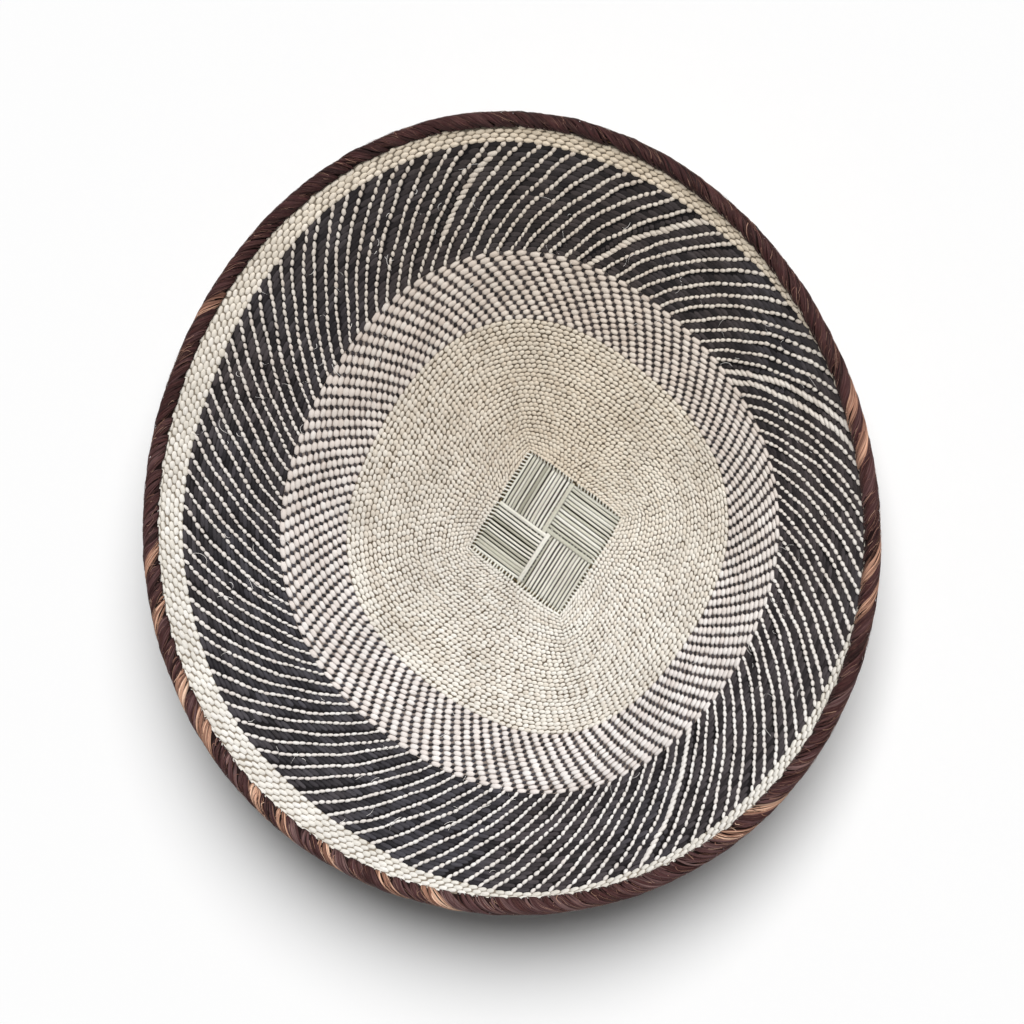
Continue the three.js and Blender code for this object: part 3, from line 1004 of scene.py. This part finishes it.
def bark(name, tones, roughness):
    """Bark strip: long fibres, some of them pale, nearly matt, with painted shade at its edges and
    ends.
    """
    paint = painter(name)
    fibre = paint.attribute("fibre", "Vector")
    long_lines = paint.noise(paint.scaled(fibre, BARK_STREAKS), 1.0, detail=4, roughness=0.62)
    fine = paint.noise(paint.scaled(fibre, BARK_THREADS), 1.0, detail=3, roughness=0.6)
    light = paint.ramp(paint.band(long_lines, 0.3, 0.7), BARK_LIGHT)
    colour = paint.times(paint.ramp(paint.attribute("tone"), evenly(tones)), light)
    pale = paint.mix(0.4, colour, written(*PALE_FIBRE))
    colour = paint.mix(paint.band(fine, 0.56, 0.74), colour, pale)
    # Painted shade: towards the crease colour at the edges and ends of strands and wraps.
    depth = paint.band(paint.attribute("crest"), 0.05, 0.6)
    colour = paint.mix(depth, paint.mix(0.88, colour, written(*BARK_CREASE_SHADE)), colour)
    paint.bump(paint.blend(long_lines, 0.8, fine, 0.35), strength=0.55, distance=0.0006)
    return paint.finish(colour, roughness, specular=0.1)


TAN_TONES = [(92, 60, 50), (164, 122, 102), (212, 168, 142), (238, 204, 178)]
BARK = bark("bark_strip", [(21, 7, 8), (64, 36, 36), (86, 60, 61), (130, 104, 101)], 0.52)
TAN_BARK = bark("tan_bark_strip", TAN_TONES, 0.5)
HAIR = bark("bark_fibre", [(36, 16, 14), (80, 50, 44), (126, 90, 78), (180, 144, 124)], 0.5)
BARK_SHADE = backing("bark_shade", (34, 20, 18), (22, 12, 11))


def wraps(name, at, own_share=0.6):
    """Wraps at these directions, in degrees, as one piece. Each is a flat bunch of strands."""
    wrap = np.repeat(np.arange(len(at)), WRAP_STRANDS)
    strand = np.tile(np.arange(WRAP_STRANDS), len(at)).reshape(-1, 1, 1)
    count = len(wrap)
    q = np.linspace(0, 1, WRAP_STATIONS)[None, :, None]
    t = STRAND_ACROSS[None, None, :]
    jitter = waver(STRAND_WAVER, count)
    shared_by = lambda values: values[wrap].reshape(-1, 1, 1)
    of_wrap = lambda key: shared_by(random.normal(0, WRAP_WAVER[key], len(at)))
    run = WRAP_RUN / RIM_RADIUS * (1 + of_wrap("run"))
    middle = shared_by(rad(np.asarray(at))) + wrap_travel(q) * run
    bulge = WRAP_TIP + (1 - WRAP_TIP) * np.sin(math.pi * q) ** 0.7
    place = (strand + 0.5) * 2 / WRAP_STRANDS - 1 + jitter("place")
    drift = jitter("drift") * (q - 0.5)
    bend = jitter("bend") * np.sin(2 * math.pi * q * STRAND_BENDS + jitter("phase"))
    place = place + (drift + bend)
    reach = WRAP_HALF * (2 * math.pi / WRAPS) * bulge * (1 + of_wrap("width"))
    thin = STRAND_WIDTH / WRAP_STRANDS * (1 + jitter("width")).clip(*STRAND_LIMITS)
    angle = middle + reach * (place + thin * t)
    edge = dome(place, 1, 0.5)
    ends = np.sin(math.pi * q) ** 0.35
    crown = dome(t, 2, 1)
    lift = WRAP_LAP * (place + 1) / 2 + WRAP_CROWN * edge + STRAND_CROWN * crown
    lift = lift + np.abs(jitter("lift")) + of_wrap("lift") - WRAP_SINK
    path = [line.reshape(1, -1, 1) for line in binding_path(WRAP_STATIONS)]
    points = rim_point(angle, *path, lift * ends)
    serial = each(count, 0, 90)
    own = each(count, 0, 1)
    shared = shared_by(random.uniform(0, 1, len(at)))
    # Painted shade towards one direction.
    darker = WRAP_PAINTED_SHADE * towards(angle, WRAP_PAINTED_SHADE_AT, WRAP_PAINTED_SHADE_FOCUS)
    tone = (own_share * own + (1 - own_share) * shared) * (1 - darker)
    # Painted shade at the edges and ends of strands and wraps, carried as crest to the bark.
    light = (STRAND_SHADE + (1 - STRAND_SHADE) * crown) * np.clip(WRAP_SHADE + edge, 0, 1)
    attributes = {
        "tone": np.clip(tone, 0, 1),
        "crest": light * ends,
        "fibre": fibre_map(WRAP_FIBRES[0] * q, t * WRAP_FIBRES[1], serial),
    }
    return grid_mesh(name, points, attributes, flip=True)


def rim_bed():
    """What lies under the wraps, coloured as painted shade between them."""
    path = [line[None, :] for line in binding_path(22)]
    points = rim_point(ROUND[:, None], *path, -1.0)
    piece = grid_mesh("rim_bed", points[None], {}, flip=False)
    dress(piece, BARK_SHADE, "binding_bark")


def rim():
    every = (np.arange(WRAPS) * 360 / WRAPS + random.normal(0, WRAP_WAVER["at"], WRAPS)) % 360
    tan = {int(np.argmin(apart(every, wanted))) for wanted in TAN_WRAPS}
    tan_at = [every[i] for i in sorted(tan)]
    bark_at = [every[i] for i in range(WRAPS) if i not in tan]
    piece = wraps("rim_wraps_bark", bark_at)
    dress(piece, BARK, "binding_bark", *nodes_named("rim_binding_bark"))
    piece = wraps("rim_wraps_tan", tan_at, own_share=0.9)
    dress(piece, TAN_BARK, "binding_tan", *nodes_named("rim_binding_tan"))


rim()
rim_bed()


# Loose fibres on the dark band and over the rim.

STRAY_FIBRES = 220
STRAY_BEND = 1.6  # how far a fibre may turn along its length, in radians
STRAY_RADIUS = 180  # about where on the plate they lie
STRAY_HIGH = 0.9
STRAY_HALF = 0.08  # half a fibre's width
STRAY_HALF_TURN = 0.0004  # the same round the plate, in radians


def stray_fibres():
    """Loose ends of leaf fibre that stand a little off the dark band."""
    count = STRAY_FIBRES
    s = np.linspace(0, 1, 9)[None, :, None]
    t = np.array([-1, 1])[None, None, :]
    length = each(count, 2, 9)
    heading = each(count, 0, 2 * math.pi) + each(count, -STRAY_BEND, STRAY_BEND) * s
    ring = each(count, CENTRE_END, CHECKER_END + DARK_BAND_WIDTH) + length * s * np.sin(heading)
    angle = each(count, 0, 2 * math.pi) + length * s * np.cos(heading) / STRAY_RADIUS
    angle = angle + t * STRAY_HALF_TURN
    high = STITCH_HIGH + STRAY_HIGH * np.sin(math.pi * s * each(count, 0.5, 1)) - 0.1
    points = wall_point(angle, ring + t * STRAY_HALF, high + 0 * angle)
    attributes = {
        "tone": each(count, *PALE_TONES),
        "strand": each(count, *PALE_TONES),
        "crest": 1,
        "painted_shade": 0,
        "warm": 0,
        "fibre": fibre_map(3 * s, t, each(count, 0, 9)),
    }
    piece = grid_mesh("stray_fibres", points, attributes)
    dress(piece, LINE_CREAM, "weft_charcoal")


BARK_HAIRS = 1500
TAN_HAIRS = 130
HAIR_HALVES = (0.00035, 0.0011)  # half the width of the thinnest and thickest, in radians


def rim_hairs(name, count, colour, slot, spread_at):
    """Single fibres that cross the wraps at a steeper slant."""
    start = each(count, 0.06, 0.6)
    span = each(count, 0.12, 0.34)
    s = np.linspace(0, 1, 12)[None, :, None]
    t = np.array([-1, 0, 1])[None, None, :]
    q = start + span * s
    run = each(count, 0.5, 1.5) * WRAP_RUN / RIM_RADIUS
    bow = random.normal(0, 0.006, (count, 1, 1)) * np.sin(math.pi * s)
    angle = spread_at(count).reshape(-1, 1, 1) + wrap_travel(q) * run + bow
    angle = angle + t * each(count, *HAIR_HALVES)
    lift = each(count, 0.0, 0.6) * np.sin(math.pi * s) ** 0.4
    lift = lift - 0.2 + 0.1 * (1 - t * t)
    at = lambda line: np.interp(q * (len(line) - 1), np.arange(len(line)), line)
    path = [at(line) for line in binding_path(48)]
    points = rim_point(angle, *path, lift)
    attributes = {
        "tone": each(count, 0, 1),
        "crest": 1,
        "fibre": fibre_map(8 * s, t, each(count, 0, 60)),
    }
    piece = grid_mesh(name, points, attributes, flip=True)
    dress(piece, colour, slot)


stray_fibres()
anywhere = lambda count: random.uniform(0, 2 * math.pi, count)
near_tan = lambda count: rad(random.choice(TAN_WRAPS, count)) + random.normal(0, 0.02, count)
rim_hairs("rim_hairs_bark", BARK_HAIRS, HAIR, "binding_bark", anywhere)
rim_hairs("rim_hairs_tan", TAN_HAIRS, TAN_BARK, "binding_tan", near_tan)


WOOD_GRAIN = (60, 60, 420)


def wood(name, light, dark):
    """Plain plant material for the solids that stay under the dressing."""
    paint = painter(name)
    grain = paint.noise(paint.scaled(paint.place(), WOOD_GRAIN), 1.0, detail=4)
    colour = paint.mix(grain, written(*light), written(*dark))
    paint.bump(grain, strength=0.3, distance=0.0003)
    return paint.finish(colour, roughness=0.75, specular=0.2)


HOOP_WOOD = wood("hoop_wood", (138, 106, 73), (104, 76, 50))
WARP_LEAF = wood("warp_leaf", (176, 158, 120), (120, 104, 76))
for start, material in (("rim_hoop", HOOP_WOOD), ("warp_fan", WARP_LEAF)):
    for name in nodes_named(start):
        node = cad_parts[name]
        node.data.materials.clear()
        node.data.materials.append(material)


# Floor, light and camera.

FLOOR_HALF = 12.0  # metres
FLOOR_AT = -0.0006  # metres, just under the plate's lowest point


def floor():
    mesh = bpy.data.meshes.new("floor")
    signs = [(-1, -1), (1, -1), (1, 1), (-1, 1)]
    corners = [(x * FLOOR_HALF, y * FLOOR_HALF, FLOOR_AT) for x, y in signs]
    mesh.from_pydata(corners, [], [(0, 1, 2, 3)])
    piece = placed("floor", mesh)
    paint = painter("floor")
    mesh.materials.append(paint.finish((0.99, 0.99, 0.99), roughness=0.9, specular=0.0))
    return piece


def sun_light(name, azimuth, elevation, softness, strength):
    """A distant soft lamp: every part of the plate gets it at the same strength."""
    lamp = bpy.data.lights.new(name, "SUN")
    lamp.angle = math.radians(softness)
    lamp.energy = strength
    piece = placed(name, lamp)
    a, e = math.radians(azimuth), math.radians(elevation)
    away = Vector((math.cos(a) * math.cos(e), math.sin(a) * math.cos(e), math.sin(e)))
    piece.location = away * 3
    piece.rotation_mode = "QUATERNION"
    piece.rotation_quaternion = away.to_track_quat("Z", "Y")
    return piece


def spare(lamp, piece):
    """Keeps this lamp's light off this piece."""
    spared = bpy.data.collections.new(lamp.name + "_spares")
    spared.objects.link(piece)
    spared.collection_objects[0].light_linking.link_state = "EXCLUDE"
    lamp.light_linking.receiver_collection = spared


def surroundings(strength):
    """White behind the plate, and this strength as light on it."""
    world = bpy.data.worlds.new("studio")
    sky = Nodes(world, "Background")
    path = sky.tree.nodes.new("ShaderNodeLightPath").outputs
    seen = path["Is Camera Ray"]
    for ray in ("Is Glossy Ray", "Is Transmission Ray"):
        seen = sky.maths("MAXIMUM", seen, path[ray])
    values = {"Value": seen, "To Min": strength, "To Max": 1}
    level = sky.node("ShaderNodeMapRange", values, "Result")
    sky.plug(sky.shader, {"Color": WHITE, "Strength": level})
    bpy.context.scene.world = world


def camera():
    """Stands where the plate's rings line up with the photo."""
    tilt, side, roll = rad(CAMERA_TILT), rad(CAMERA_SIDE), rad(CAMERA_ROLL)
    back = np.array([np.sin(tilt) * np.cos(side), np.sin(tilt) * np.sin(side), np.cos(tilt)])
    right = np.cross([0, 1, 0], back)
    right = right / np.linalg.norm(right)
    up = np.cross(back, right)
    right, up = np.cos(roll) * right + np.sin(roll) * up, -np.sin(roll) * right + np.cos(roll) * up
    left_of = BASE_IN_PHOTO[0] - PHOTO_SIZE / 2
    above = PHOTO_SIZE / 2 - BASE_IN_PHOTO[1]
    eye = (CAMERA_PIXELS * back - left_of * right - above * up) * MM_PER_PIXEL + BASE_AT
    lens = bpy.data.cameras.new("camera")
    lens.sensor_width = SENSOR
    lens.lens = SENSOR * CAMERA_PIXELS / PHOTO_SIZE
    lens.clip_start = 0.05
    lens.clip_end = 50
    piece = placed("camera", lens)
    rows = np.stack([right, up, back, eye * MM], axis=1).tolist()
    piece.matrix_world = Matrix([*rows, (0, 0, 0, 1)])
    bpy.context.scene.camera = piece


ground = floor()
sun_light("key", azimuth=54, elevation=51, softness=40, strength=3.62)
fill = sun_light("fill", azimuth=252, elevation=22, softness=40, strength=0.85)
spare(fill, ground)
surroundings(strength=0.1)
camera()
bpy.context.scene.view_settings.view_transform = "Standard"

bpy.context.view_layer.update()
